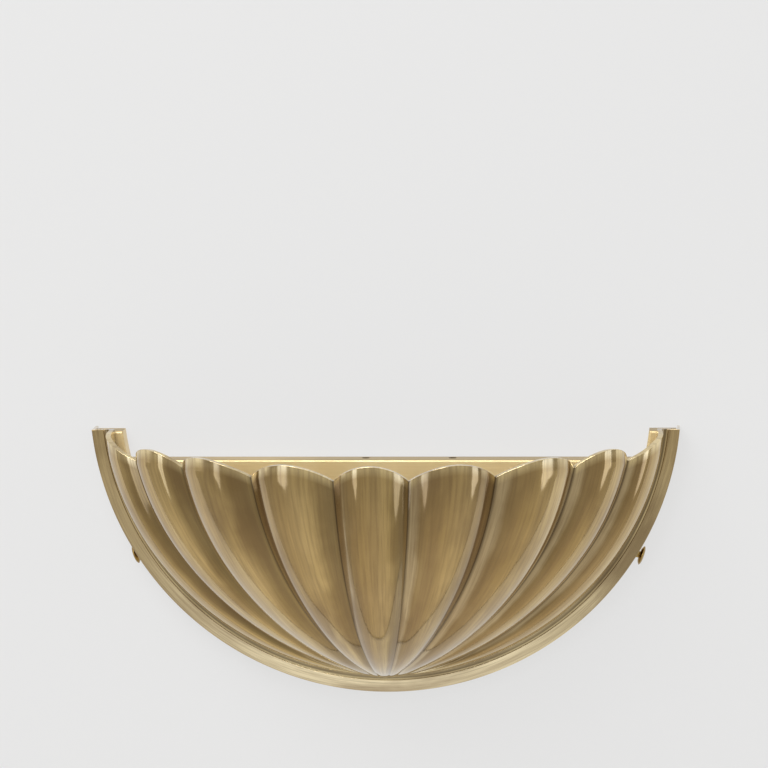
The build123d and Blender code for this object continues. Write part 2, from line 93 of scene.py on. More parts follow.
daylight = (0.82, 0.93, 1.22)
softbox("key softbox", (-0.7, -1.2, 1.5), (0, 0, 0), 1.4, 0.9, 25)
softbox("front softbox", (-0.3, -1.9, 0.95), (0, 0, 0.05), 1.2, 0.6, 7)
softbox("left strip light", (-1.03, -1.23, -0.25), (0, -0.1, -0.25), 0.38, 0.95, 0.75, "ELLIPSE", daylight)
softbox("right strip light", (1.40, -0.57, -0.30), (0, -0.1, -0.30), 0.48, 0.95, 1.1, "ELLIPSE", daylight)


def linear(code):
    """An sRGB hex colour, as the linear colour that the shaders use."""
    channels = [int(code[i:i + 2], 16) / 255 for i in (1, 3, 5)]
    return tuple(c / 12.92 if c <= 0.04045 else ((c + 0.055) / 1.055) ** 2.4 for c in channels) + (1,)


def add_node(tree, kind, links=None, stops=(), **settings):
    """Adds a shader node. Links fill its inputs, by name or number, from a value or another output.

    Stops are the (position, sRGB hex) pairs of a colour ramp.
    """
    made = tree.nodes.new("ShaderNode" + kind)
    for name, value in settings.items():
        setattr(made, name, value)
    for name, value in (links or {}).items():
        if isinstance(value, bpy.types.NodeSocket):
            tree.links.new(value, made.inputs[name])
        else:
            made.inputs[name].default_value = value
    if stops:
        elements = made.color_ramp.elements
        while len(elements) < len(stops):
            elements.new(0.5)
        for element, (position, code) in zip(elements, stops):
            element.position = position
            element.color = linear(code)
    return made


# The room, by compass bearing: pale behind the light, deeper in front, where the brass mirrors it.
# Above the horizon it is white all round.
room = bpy.data.worlds.new("studio room")
room.use_nodes = True
tree = room.node_tree
gaze = add_node(tree, "SeparateXYZ", {0: add_node(tree, "TexCoord").outputs["Generated"]})
ahead = add_node(tree, "Math", {0: gaze.outputs["Y"], 1: -1}, operation="MULTIPLY")
bearing = add_node(tree, "Math", {0: gaze.outputs["X"], 1: ahead.outputs[0]}, operation="ARCTAN2")
round_room = add_node(tree, "MapRange", {"Value": bearing.outputs[0], "From Min": -pi, "From Max": pi})
room_walls = add_node(tree, "ValToRGB", {0: round_room.outputs[0]}, stops=[
    (0.20, "#D8D8DA"), (0.28, "#F2F1EF"), (0.32, "#989286"), (0.39, "#9C968A"), (0.47, "#ADA79B"),
    (0.55, "#C2BDB2"), (0.63, "#C2BDB2"), (0.69, "#857F74"), (0.76, "#9A9489"), (0.85, "#D8D8DA")])
height = add_node(tree, "MapRange", {"Value": gaze.outputs["Z"], "From Min": -0.02, "From Max": 0.12})
around = add_node(tree, "Mix", {0: height.outputs[0], 6: room_walls.outputs[0], 7: linear("#FAFAFA")},
                  data_type="RGBA")
tree.links.new(around.outputs[2], tree.nodes["Background"].inputs["Color"])
scene.world = room


# ---------------------------------------------------------------- wall and floor
# Matt pale emulsion on the wall, and a pale floor below, deeper away from the light. Each is one-sided,
# so the light's back can be seen, and keeps most of its paleness where the eye or the metal sees it.
board_reach = 8.0
floor_drop = 1.2  # below the wall-screw line
floor_zone = 10 * mm
wall_set_back = 0.2 * mm
painted_shade_width = 22 * mm  # width of a strip of painted shade on the floor along the foot of the wall
near_floor, far_floor = 0.6, 2.4  # distances over which the floor's tone deepens
steady_paleness = 0.86  # share of what is seen that doesn't depend on the lamps
pan_reach = 186 * mm  # behind the pan, and below its top wall, the wall has no steady paleness
pan_centre = 93.5 * mm
pan_top = 53.5 * mm


def matt_board(name, near, far, turn, place):
    """A one-sided board of matt emulsion, with one tone near the light and another far from it."""
    board = bmesh.new()
    bmesh.ops.create_grid(board, x_segments=1, y_segments=1, size=board_reach)
    bmesh.ops.rotate(board, cent=(0, 0, 0), matrix=turn, verts=board.verts)
    bmesh.ops.translate(board, vec=place, verts=board.verts)
    mesh = bpy.data.meshes.new(name)
    board.to_mesh(mesh)
    board.free()
    emulsion = bpy.data.materials.new(name + " emulsion")
    emulsion.use_nodes = True
    tree = emulsion.node_tree
    spot = add_node(tree, "TexCoord").outputs["Object"]
    level = add_node(tree, "SeparateXYZ", {0: spot})

    # Its tone, with a strip of painted shade along the foot of the wall.
    run = add_node(tree, "VectorMath", {0: spot, 1: (0, 0, -floor_drop)}, operation="DISTANCE")
    away = add_node(tree, "MapRange", {"Value": run.outputs["Value"], "From Min": near_floor,
                                       "From Max": far_floor})
    near_wall_foot = add_node(tree, "Math", {0: level.outputs["Y"], 1: -painted_shade_width}, operation="GREATER_THAN")
    flat = add_node(tree, "Math", {0: level.outputs["Z"], 1: floor_zone - floor_drop}, operation="LESS_THAN")
    painted_shade_strip = add_node(tree, "Math", {0: near_wall_foot.outputs[0], 1: flat.outputs[0]}, operation="MULTIPLY")
    open_tone = add_node(tree, "Mix", {0: away.outputs[0], 6: linear(near), 7: linear(far)},
                         data_type="RGBA")
    tone = add_node(tree, "Mix", {0: painted_shade_strip.outputs[0], 6: open_tone.outputs[2], 7: linear("#5C564C")},
                    data_type="RGBA")

    # Its steady share, for the camera, mirrors and glass, where the pan doesn't cover it.
    rays = add_node(tree, "LightPath")
    mirrored = add_node(tree, "Math", {0: rays.outputs["Is Camera Ray"], 1: rays.outputs["Is Glossy Ray"]},
                        operation="ADD")
    seen = add_node(tree, "Math", {0: mirrored.outputs[0], 1: rays.outputs["Is Transmission Ray"]},
                    operation="ADD", use_clamp=True)
    from_pan = add_node(tree, "VectorMath", {0: spot, 1: (0, 0, pan_centre)}, operation="DISTANCE")
    outside = add_node(tree, "Math", {0: from_pan.outputs["Value"], 1: pan_reach}, operation="GREATER_THAN")
    above = add_node(tree, "Math", {0: level.outputs["Z"], 1: pan_top}, operation="GREATER_THAN")
    uncovered = add_node(tree, "Math", {0: outside.outputs[0], 1: above.outputs[0]}, operation="MAXIMUM")
    steadied = add_node(tree, "Math", {0: seen.outputs[0], 1: steady_paleness}, operation="MULTIPLY")
    share = add_node(tree, "Math", {0: steadied.outputs[0], 1: uncovered.outputs[0]}, operation="MULTIPLY")

    matt = add_node(tree, "BsdfDiffuse", {"Color": tone.outputs[2]})
    steady = add_node(tree, "Emission", {"Color": tone.outputs[2], "Strength": 1.0})
    front = add_node(tree, "MixShader", {0: share.outputs[0], 1: matt.outputs[0], 2: steady.outputs[0]})
    back = add_node(tree, "BsdfTransparent")
    facing_away = add_node(tree, "NewGeometry").outputs["Backfacing"]
    one_sided = add_node(tree, "MixShader", {0: facing_away, 1: front.outputs[0], 2: back.outputs[0]})
    tree.links.new(one_sided.outputs[0], tree.nodes["Material Output"].inputs["Surface"])
    tree.nodes.remove(tree.nodes["Principled BSDF"])
    mesh.materials.append(emulsion)
    made = bpy.data.objects.new(name, mesh)
    scene.collection.objects.link(made)


matt_board("wall", "#E4E4E4", "#E4E4E4", Matrix.Rotation(pi / 2, 3, "X"),
           (0, wall_set_back, board_reach - floor_drop))
matt_board("floor", "#E0DACD", "#BDB8AB", Matrix.Identity(3),
           (0, wall_set_back - board_reach, -floor_drop))


# ---------------------------------------------------------------- shell
# One brass casting: a nine-lobed bowl, a groove and a plain rim, whose return to the wall has two open
# slots that slide over the thumbscrews. It is darkened, then relieved with a brush, so the crowns are
# pale and the valleys stay brown. Bands across each lobe also hold painted reflections, the foot a
# painted reflection, and the rim and lip painted highlights.
tips = 75.0 * mm  # height of the rim's two tips
rim_radius = 189.5 * mm
rim_centre = tips + 18.5 * mm
rim_out = 18.5 * mm
band_width = 7.4 * mm
band_wall = 1.8 * mm
groove_width = 3.9 * mm
groove_depth = 2.3 * mm
bowl_wall = 3.0 * mm
wall_gap = 0.5 * mm
valley_level = tips - 15.5 * mm
crown_rise = 10.8 * mm  # crowns of the top edge, above its valleys
end_bulge = 2.0 * mm  # how far the end lobes' edge bows above a straight line
valleys = [(23.3 * mm, 112.0 * mm), (75.8 * mm, 95.5 * mm), (123.0 * mm, 58.5 * mm), (155.9 * mm, 30.5 * mm)]
tapers = (1.40, 1.64, 1.45, 1.29)  # how fast each valley runs in to the foot of the bowl
foot_parts = (0.14, 0.36, 0.60, 0.82)  # where the valleys meet the groove at the foot of the bowl
foot_reach = 0.35
foot_blend = 1.5
lobe_bulge = 0.25  # rise of each lobe over its chord
shoulder = 0.8  # where a lobe's straight flank begins, from its crown
flank_slope = 0.95
bowl_radius = rim_radius - band_width - groove_width
cavity_radius = bowl_radius - bowl_wall
groove_out = rim_out - groove_depth
bowl_back = groove_out - band_wall
lobes = 2 * len(valleys) + 1
lip_round = 0.35 * mm


def plan_at(share, radius, wall):
    """Valleys right of the middle, as x and distance out, where the bowl has shrunk to a share."""
    full_half = sqrt(radius**2 - (valley_level - rim_centre) ** 2)
    points = [(-valleys[0][0], valleys[0][1]), *valleys, (full_half + wall, 0)]
    moved = []
    for before, here, after in zip(points, points[1:], points[2:]):
        run_x, run_out = after[0] - before[0], after[1] - before[1]
        run = hypot(run_x, run_out)
        moved.append((here[0] + run_out / run * wall, here[1] - run_x / run * wall))
    half = full_half * share
    spread = max(0, 1 - share / foot_reach) ** foot_blend
    return [(x * share**taper * (1 - spread) + part * half * spread, out * share)
            for (x, out), taper, part in zip(moved, tapers, foot_parts)]


def arch(along, width, rise):
    """Height of a round arch over its chord, at a fraction along it."""
    radius = (width**2 / 4 + rise**2) / (2 * rise)
    return sqrt(radius**2 - ((along - 0.5) * width) ** 2) - radius + rise


def flute(along):
    """Rise of a lobe over its chord, as a share of it: straight flanks, round shoulders, a flat crown."""
    from_crown = abs(2 * along - 1)
    if from_crown > shoulder:
        return (1 - from_crown) / 2 * flank_slope
    shoulder_rise = (1 - shoulder) / 2 * flank_slope
    fullness = flank_slope * shoulder / 2 / (lobe_bulge - shoulder_rise)
    return shoulder_rise + (lobe_bulge - shoulder_rise) * (1 - (from_crown / shoulder) ** fullness)


def on_lobe(lobe, along, half, share, radius, wall):
    """Point of one lobe's outline: x, the distance out from the rim's face, and the lobe's width."""
    right = plan_at(share, radius, wall) + [(half, 0)]
    points = [(-x, out) for x, out in reversed(right)] + right
    start, end = points[lobe], points[lobe + 1]
    run_x, run_out = end[0] - start[0], end[1] - start[1]
    lift = flute(along)
    x = start[0] + run_x * along - run_out * lift
    out = start[1] + run_out * along + run_x * lift
    return x, out, hypot(run_x, run_out)


def edge_height(lobe, along, width):
    """The scalloped top edge."""
    if 0 < lobe < lobes - 1:
        return valley_level + arch(along, width, crown_rise)
    from_tip = along if lobe == 0 else 1 - along
    line = tips + (valley_level - tips) * from_tip
    return min(tips, line + 4 * end_bulge * from_tip * (1 - from_tip))


def bowl_point(lobe, along, climb, radius, wall):
    """Point of the bowl's outside or inside: climb runs from the foot, 0, to the top edge, 1."""
    full_half = sqrt(radius**2 - (valley_level - rim_centre) ** 2)
    width = on_lobe(lobe, 0.5, full_half, 1, radius, wall)[2]
    top = edge_height(lobe, along, width)
    angle = (pi / 2 - asin((rim_centre - top) / radius)) * climb
    half = radius * sin(angle)
    x, out, _ = on_lobe(lobe, along, half, min(1, half / full_half), radius, wall)
    return Vector((x, -rim_out - out, rim_centre - radius * cos(angle)))


def lip_point(lobe, along, turn):
    """Point of the rounded edge between the outside, 0, and the inside, 1."""
    outside = bowl_point(lobe, along, 1, bowl_radius, 0)
    inside = bowl_point(lobe, along, 1, cavity_radius, bowl_wall)
    across = (inside - outside).normalized()
    thickness = (inside - outside).length
    start = turn < 0.5
    corner = (turn if start else 1 - turn) * pi  # quarter turn at each corner
    inset = lip_round * (1 - cos(corner))
    drop = lip_round * (1 - sin(corner))
    return outside + across * (inset if start else thickness - inset) - Vector((0, 0, drop))


# The bowl is one grid: outside rows from the foot up, the rounded lip, and inside rows down again. It
# carries two maps for the finish, one in decimetres along the brush and one that counts lobes and climb.
lobe_steps = 24
outer_rows = 96
lip_rows = 6
inner_rows = 48
lip_blend_rows = 3  # rows of the outside that ease down into the lip
lip_blend = 0.04  # the same on the inside, as a share of its climb
lobe_across = 0.46  # decimetres of brush map a lobe
climb_up = 2.2
recess_narrowing = 8
tuck_in = 0.7 * mm  # the bowl's two side edges go this far under the rim's groove
merge_gap = 0.002 * mm

bowl = bmesh.new()
rows = outer_rows + lip_rows + inner_rows
columns = lobes * lobe_steps
bmesh.ops.create_grid(bowl, x_segments=columns, y_segments=rows, size=1)
brushed = bowl.loops.layers.uv.new("brushed")
fluting = bowl.loops.layers.uv.new("flute")
patina_and_painted_shade = bowl.verts.layers.float.new("patina_and_painted_shade")
places = {vert: (round((vert.co.x + 1) / 2 * columns), round((vert.co.y + 1) / 2 * rows))
          for vert in bowl.verts}
for face in bowl.faces:
    for corner in face.loops:
        column, row = places[corner.vert]
        corner[brushed].uv = (column / lobe_steps * lobe_across, row / outer_rows * climb_up)
        corner[fluting].uv = (column / lobe_steps, row / outer_rows)
for vert, (column, row) in places.items():
    lobe = min(column // lobe_steps, lobes - 1)
    along = (1 - cos(pi * (column / lobe_steps - lobe))) / 2
    vert[patina_and_painted_shade] = (1 - sin(pi * along)) ** recess_narrowing
    if row < outer_rows:
        vert.co = bowl_point(lobe, along, row / outer_rows, bowl_radius, 0)
        vert.co.z -= lip_round * max(0, row - outer_rows + lip_blend_rows) / lip_blend_rows
    elif row <= outer_rows + lip_rows:
        vert.co = lip_point(lobe, along, (row - outer_rows) / lip_rows)
    else:
        climb = (rows - row) / inner_rows
        vert.co = bowl_point(lobe, along, climb, cavity_radius, bowl_wall)
        vert.co.z -= lip_round * max(0, climb - (1 - lip_blend)) / lip_blend
side_edges = [edge for edge in bowl.edges
              if edge.is_boundary and all(places[vert][0] in (0, columns) for vert in edge.verts)]
tucked = bmesh.ops.extrude_edge_only(bowl, edges=side_edges)["geom"]
bmesh.ops.translate(bowl, vec=(0, rim_out - groove_out + tuck_in, 0),
                    verts=[item for item in tucked if isinstance(item, bmesh.types.BMVert)])
bmesh.ops.remove_doubles(bowl, verts=bowl.verts, dist=merge_gap)
bmesh.ops.holes_fill(bowl, edges=[edge for edge in bowl.edges if edge.is_boundary], sides=0)
bmesh.ops.recalc_face_normals(bowl, faces=bowl.faces)

# The rim's section, from the wall round the band, the coved groove and the back, is spun half round.
band_cant = 1.1 * mm  # the band's face leans a little towards the groove
cove_start, cove_middle = 0.35, 0.75  # across the groove
cove_lift = 0.5 * mm
bowl_edge_drop = 0.8 * mm
spin_start = radians(4)  # past the tips, where the rim is then cut level
spin_steps = 200
rim_edge_round = 0.6 * mm
rim_sharp_angle = radians(40)
band_inner = rim_radius - band_width
section = [
    (rim_radius, wall_gap), (rim_radius, rim_out), (band_inner, rim_out - band_cant),
    (band_inner, groove_out), (band_inner - groove_width * cove_start, groove_out),
    (band_inner - groove_width * cove_middle, groove_out + cove_lift),
    (bowl_radius, rim_out - bowl_edge_drop), (cavity_radius, groove_out), (cavity_radius, bowl_back),
    (band_inner + band_wall, bowl_back), (band_inner + band_wall, rim_out - band_wall),
    (rim_radius - band_wall, rim_out - band_wall), (rim_radius - band_wall, wall_gap),
]
rim = bmesh.new()
corners = [rim.verts.new((-r * cos(spin_start), -out, rim_centre - r * sin(spin_start)))
           for r, out in section]
edges = [rim.edges.new(pair) for pair in zip(corners, corners[1:] + corners[:1])]
bmesh.ops.spin(rim, geom=corners + edges, cent=(0, 0, rim_centre), axis=(0, 1, 0),
               angle=-(pi - 2 * spin_start), steps=spin_steps)
bmesh.ops.recalc_face_normals(rim, faces=rim.faces)
bmesh.ops.bisect_plane(rim, geom=rim.verts[:] + rim.edges[:] + rim.faces[:], plane_co=(0, 0, tips),
                       plane_no=(0, 0, 1), clear_outer=True)
bmesh.ops.holes_fill(rim, edges=[edge for edge in rim.edges if edge.is_boundary], sides=0)
sharp = [edge for edge in rim.edges if edge.is_manifold and edge.calc_face_angle() > rim_sharp_angle]
bmesh.ops.bevel(rim, geom=sharp, offset=rim_edge_round, segments=3, profile=0.5, affect="EDGES", material=-1,
                clamp_overlap=True)

sides = ("left", "right")
joint_named = {joint["name"]: joint for joint in frame["joints"]}
slot_half = 3.0 * mm
slot_reach = 4.0 * mm  # past the return's face, inside and outside
slot_steps = 16
slot_past_wall = 1 * mm


def slot_cutter(joint):
    """A round-ended slot about a thumbscrew's axis, open towards the wall."""
    across_slot = Vector(joint["axis"]).cross((0, 1, 0)).normalized()
    start = Vector(joint["pos_m"]) - Vector(joint["axis"]) * slot_reach
    turns = [pi * step / slot_steps for step in range(slot_steps + 1)]
    around = [(slot_half * cos(turn), -slot_half * sin(turn)) for turn in turns]
    open_end = -start.y + slot_past_wall
    made = bmesh.new()
    points = [start + across_slot * x + Vector((0, y, 0))
              for x, y in [(slot_half, open_end), *around, (-slot_half, open_end)]]
    face = made.faces.new([made.verts.new(point) for point in points])
    pushed = bmesh.ops.extrude_face_region(made, geom=[face])["geom"]
    bmesh.ops.translate(made, vec=Vector(joint["axis"]) * 2 * slot_reach,
                        verts=[item for item in pushed if isinstance(item, bmesh.types.BMVert)])
    bmesh.ops.recalc_face_normals(made, faces=made.faces)
    return made


def cut_away(made, cutters):
    """The bmesh less the cutters, by a boolean that is applied at once."""
    placed = []
    for part in [made, *cutters]:
        mesh = bpy.data.meshes.new("cutting")
        part.to_mesh(mesh)
        part.free()
        placed.append(bpy.data.objects.new("cutting", mesh))
        scene.collection.objects.link(placed[-1])
    for cutter in placed[1:]:
        cut = placed[0].modifiers.new("cut", "BOOLEAN")
        cut.object = cutter
        cut.operation = "DIFFERENCE"
        cut.solver = "EXACT"
    result = bmesh.new()
    result.from_object(placed[0], bpy.context.evaluated_depsgraph_get())
    for part in placed:
        mesh = part.data
        bpy.data.objects.remove(part)
        bpy.data.meshes.remove(mesh)
    return result


# The rim's maps: the same decimetres along the brush, and minus the height below its centre as its climb.
decimetres = 10  # a metre
crown_place = 0.6  # the rim takes the patina of a lobe's crown
groove_fade = 0.25  # the groove's brown, less this share of it towards the bowl
groove_start = 0.05
rim = cut_away(rim, [slot_cutter(joint_named[f"thumbscrew_{side}_turn"]) for side in sides])
rim_recess = rim.verts.layers.float.new("patina_and_painted_shade")
rim_brushed = rim.loops.layers.uv.new("brushed")
rim_fluting = rim.loops.layers.uv.new("flute")
for vert in rim.verts:
    across_groove = (band_inner - hypot(vert.co.x, vert.co.z - rim_centre)) / groove_width
    vert[rim_recess] = 1 - groove_fade * across_groove if across_groove > groove_start else 0
for face in rim.faces:
    for corner in face.loops:
        place = corner.vert.co
        round_rim = Vector((place.x, rim_centre - place.z)).angle_signed(Vector((0, 1))) * rim_radius
        across_rim = hypot(place.x, place.z - rim_centre) - place.y
        corner[rim_fluting].uv = (crown_place, (place.z - rim_centre) / rim_radius)
        corner[rim_brushed].uv = (across_rim * decimetres, round_rim * decimetres)
shading_angle = radians(60)


def finish_mesh(made, name):
    """Makes a bmesh an object at the origin, smooth but for its sharp edges."""
    mesh = bpy.data.meshes.new(name)
    made.to_mesh(mesh)
    made.free()
    mesh.shade_smooth()
    mesh.set_sharp_from_angle(angle=shading_angle)
    piece = bpy.data.objects.new(name, mesh)
    scene.collection.objects.link(piece)
    flat_faces = piece.modifiers.new("flat faces stay flat", "WEIGHTED_NORMAL")
    flat_faces.keep_sharp = True
    return piece


rim_mesh = bpy.data.meshes.new("rim")
rim.to_mesh(rim_mesh)
rim.free()
bowl.from_mesh(rim_mesh)
bpy.data.meshes.remove(rim_mesh)
shell = finish_mesh(bowl, "shell_casting")
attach(shell, "shell")
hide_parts("shell")


strokes_a_band = 7
cloud_size = 38.46 * mm
wave_size = 50 * mm
wave_height = 1.5 * mm
stroke_height = 0.1 * mm


def brass(name, pale, worn, smear, brown, roughness, strokes, stains, swell, lacquer, skin, brush_map=None):
    """Brass, darkened and brushed back: brown in the recesses, which is patina on the casting and painted
    shade inside the pan's vents, with fine lines along the brushing.

    Strokes and stains are sizes in millimetres along the brush map's axes, or along X, Y and Z where there
    is none. The skin turns the plain tone into the piece's own, and gives what it adds to the roughness.
    """
    material = bpy.data.materials.new(name)
    material.use_nodes = True
    tree = material.node_tree
    surface = tree.nodes["Principled BSDF"]
    surface.inputs["Metallic"].default_value = 1
    surface.inputs["Coat Weight"].default_value = lacquer
    surface.inputs["Coat Roughness"].default_value = 0.07
    place = add_node(tree, "TexCoord").outputs["Object"]
    run = add_node(tree, "UVMap", uv_map=brush_map).outputs[0] if brush_map else place

    unit = 1 / decimetres if brush_map else 1

    # Single strokes, wide bands of strokes and long stains follow the brush, and clouds don't.
    per_stroke = [unit / (size * mm) for size in strokes]
    fine = add_node(tree, "Mapping", {"Vector": run, "Scale": per_stroke})
    per_band = [count / strokes_a_band for count in per_stroke]
    wide = add_node(tree, "Mapping", {"Vector": run, "Scale": per_band})
    long = add_node(tree, "Mapping", {"Vector": run, "Scale": [unit / (size * mm) for size in stains]})
    line = add_node(tree, "TexNoise", {"Vector": fine.outputs[0], "Scale": 1, "Detail": 3}).outputs[0]
    band = add_node(tree, "TexNoise", {"Vector": wide.outputs[0], "Scale": 1, "Detail": 2}).outputs[0]
    stain = add_node(tree, "TexNoise", {"Vector": long.outputs[0], "Scale": 1, "Detail": 4}).outputs[0]
    cloud = add_node(tree, "TexNoise", {"Vector": place, "Scale": 1 / cloud_size, "Detail": 3}).outputs[0]
    # The recess mask: brown patina in the casting's valleys and groove, and painted shade inside the pan's
    # vents.
    depth = add_node(tree, "Attribute", attribute_name="patina_and_painted_shade").outputs["Fac"]
    clouded = add_node(tree, "MapRange", {"Value": cloud, "From Min": 0.35, "From Max": 0.65})
    tone = add_node(tree, "Mix", {0: clouded.outputs[0], 6: linear(pale), 7: linear(worn)}, data_type="RGBA")
    colour, duller = skin(tree, tone.outputs[2], cloud)
    for value, low, high, most, layer in [(band, 0.42, 0.68, 0.38, smear), (stain, 0.5, 0.66, 0.52, smear),
                                          (line, 0.42, 0.72, 0.4, smear), (depth, 0.45, 1, 0.85, brown)]:
        share = add_node(tree, "MapRange", {"Value": value, "From Min": low, "From Max": high,
                                            "To Max": most})
        colour = add_node(tree, "Mix", {0: share.outputs[0], 6: colour, 7: linear(layer)},
                          data_type="RGBA").outputs[2]

    # The strokes roughen it, and the surface swells in slow waves.
    stroked = add_node(tree, "MapRange", {"Value": line, "From Min": 0.3, "From Max": 0.7,
                                          "To Min": roughness - 0.05, "To Max": roughness + 0.06})
    rough = add_node(tree, "Math", {0: stroked.outputs[0], 1: duller}, operation="ADD")
    waves = add_node(tree, "TexNoise", {"Vector": place, "Scale": 1 / wave_size, "Detail": 1})
    soft = add_node(tree, "Bump", {"Height": waves.outputs[0], "Strength": swell, "Distance": wave_height})
    brush = add_node(tree, "Bump", {"Height": line, "Strength": 0.05, "Distance": stroke_height,
                                    "Normal": soft.outputs[0]})
    tree.links.new(colour, surface.inputs["Base Color"])
    tree.links.new(rough.outputs[0], surface.inputs["Roughness"])
    tree.links.new(brush.outputs[0], surface.inputs["Normal"])
    return material


def casting_skin(tree, tone, cloud):
    """Bands of patina and painted reflection across each lobe, a painted reflection on the foot, painted
    highlights on the rim and lip, and a dull inside.
    """
    place = add_node(tree, "SeparateXYZ", {0: add_node(tree, "UVMap", uv_map="flute").outputs[0]})
    climb = place.outputs["Y"]
    wander = add_node(tree, "MapRange", {"Value": cloud, "To Min": -0.06, "To Max": 0.06})
    in_lobe = add_node(tree, "Math", {0: place.outputs["X"]}, operation="FRACT")
    wandering = add_node(tree, "Math", {0: in_lobe.outputs[0], 1: wander.outputs[0]}, operation="ADD")
    # Bands across each lobe: partly patina, brown in the valleys, and partly painted reflection, in the pale
    # and greyish bands on the flanks.
    patina_and_painted_reflection = add_node(tree, "ValToRGB", {0: wandering.outputs[0]}, stops=[
        (0.00, "#C2B196"), (0.18, "#C9B89B"), (0.24, "#7E6236"), (0.33, "#957645"), (0.44, "#B89A60"),
        (0.57, "#CFB47C"), (0.66, "#CAAF75"), (0.74, "#826832"), (0.87, "#624E22"), (0.94, "#B0955C"),
        (0.98, "#C8AE76"), (1.00, "#7A6438")])
    # The foot of the bowl is painted pale: a painted reflection.
    low = add_node(tree, "MapRange", {"Value": climb, "From Min": 0.30, "From Max": 0.09, "To Max": 0.95})
    on_bowl = add_node(tree, "Math", {0: climb, 1: -0.001}, operation="GREATER_THAN")
    foot_painted_reflection = add_node(tree, "Math", {0: low.outputs[0], 1: on_bowl.outputs[0]}, operation="MULTIPLY")
    # The rim, and faintly the bowl's foot, are painted pale, more so towards the bottom: a painted
    # highlight.
    rim_painted_highlight = add_node(tree, "MapRange", {"Value": climb, "From Min": 0.25, "From Max": -0.95})
    # A pale line just below the top edge is a painted highlight.
    lip_painted_highlight = add_node(tree, "MapRange", {"Value": climb, "From Min": 0.975, "From Max": 0.995, "To Max": 0.8})
    inside = add_node(tree, "MapRange", {"Value": climb, "From Min": 1.05, "From Max": 1.09})
    skin = add_node(tree, "Mix", {0: 0.6, 6: tone, 7: patina_and_painted_reflection.outputs[0]}, data_type="RGBA")
    for share, code in [(foot_painted_reflection, "#F4E3B5"), (rim_painted_highlight, "#FFEFC6"), (lip_painted_highlight, "#FBE7B4"), (inside, "#BBA873")]:
        skin = add_node(tree, "Mix", {0: share.outputs[0], 6: skin.outputs[2], 7: linear(code)},
                        data_type="RGBA")
    duller = add_node(tree, "MapRange", {"Value": inside.outputs[0], "To Max": 0.34})
    return skin.outputs[2], duller.outputs[0]


# Cast brass, relieved and lacquered: it mirrors its surroundings softly, in greenish gold and brown.
# Brush strokes are 0.1 mm wide in reality, and drawn 1.1 mm wide and 33 mm long so that they show.
casting = brass("relieved antique brass casting", "#DEC48E", "#BDA36D", "#846843", "#54401E", 0.11,
                strokes=(1.111, 33.33, 100), stains=(18.18, 76.92, 100), swell=0.25, lacquer=0.9,
                skin=casting_skin, brush_map="brushed")
shell.data.materials.append(casting)


# ---------------------------------------------------------------- wall pan
# A tray folded from brass sheet, with a raised horn at each end and two vent holes in its top wall.
# It has the same antique finish, brushed along its length, and is screwed to the strap on the wall.
# Its front fold has a larger outside radius, which catches the light as one bright line.
fold_round = 1.5 * mm
sheet_edge_round = 0.2 * mm
on_front = 0.01 * mm
fold_length = 4 * mm  # shorter edges on the front belong to its holes
vents = (-13 * mm, 43 * mm)
vent_out = 5 * mm
vent_radius = 2.5 * mm
top_wall_zone = 40 * mm
flat_angle = radians(0.5)
sharp_angle = radians(35)


def merged(node):
    """A copy of a CAD node, with its loose triangles merged and its flat faces made whole."""
    made = bmesh.new()
    made.from_mesh(frame["nodes"][node].data)
    bmesh.ops.remove_doubles(made, verts=made.verts, dist=merge_gap)
    bmesh.ops.dissolve_limit(made, angle_limit=flat_angle, verts=made.verts, edges=made.edges)
    return made


def rounded(made, width, steps, chosen=lambda edge: True):
    """Rounds the sharp edges that are chosen."""
    sharp = [edge for edge in made.edges
             if edge.is_manifold and edge.calc_face_angle() > sharp_angle and chosen(edge)]
    bmesh.ops.bevel(made, geom=sharp, offset=width, segments=steps, profile=0.5, affect="EDGES", material=-1,
                    clamp_overlap=True)


def node_piece(made, node, body, material):
    """Finishes a piece that stands for one CAD node."""
    piece = finish_mesh(made, node + "_finished")
    piece.data.materials.clear()
    piece.data.materials.append(material)
    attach(piece, body)
    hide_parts(node)


def sheet_skin(tree, tone, cloud):
    """The pan's faces that look upward are a darker tone than its front."""
    normal = add_node(tree, "SeparateXYZ", {0: add_node(tree, "NewGeometry").outputs["Normal"]})
    upward = add_node(tree, "MapRange", {"Value": normal.outputs["Z"], "From Min": 0.75, "From Max": 0.95})
    upward_darker = add_node(tree, "Mix", {0: upward.outputs[0], 6: tone, 7: linear("#A5916A")}, data_type="RGBA")
    return upward_darker.outputs[2], 0


# Brushed sheet: a pale satin gold with faint lines along it, and painted shade, dark brown, inside the
# drilled vents.
# Its strokes are drawn 1.4 mm wide and 83 mm long so that they show.
sheet = brass("antique brass sheet", "#F3E0B2", "#E8D2A0", "#DDC491", "#3F2F16", 0.55,
              strokes=(83.33, 1.429, 1.429), stains=(111.1, 33.33, 33.33), swell=0.08, lacquer=0.2,
              skin=sheet_skin)
pan = merged("wall_pan")
pan_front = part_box("wall_pan")[0].y
rounded(pan, fold_round, 4, lambda edge: all(abs(vert.co.y - pan_front) < on_front for vert in edge.verts)
        and edge.calc_length() > fold_length)
rounded(pan, sheet_edge_round, 2)
# Faces inside the vent holes take painted shade, dark brown.
vent_painted_shade = pan.faces.layers.float.new("patina_and_painted_shade")
for face in pan.faces:
    middle = face.calc_center_median()
    from_vent = min(hypot(middle.x - x, middle.y + vent_out) for x in vents)
    if middle.z > top_wall_zone and from_vent < vent_radius + sheet_edge_round:
        face[vent_painted_shade] = 1
node_piece(pan, "wall_pan", "wall_frame", sheet)


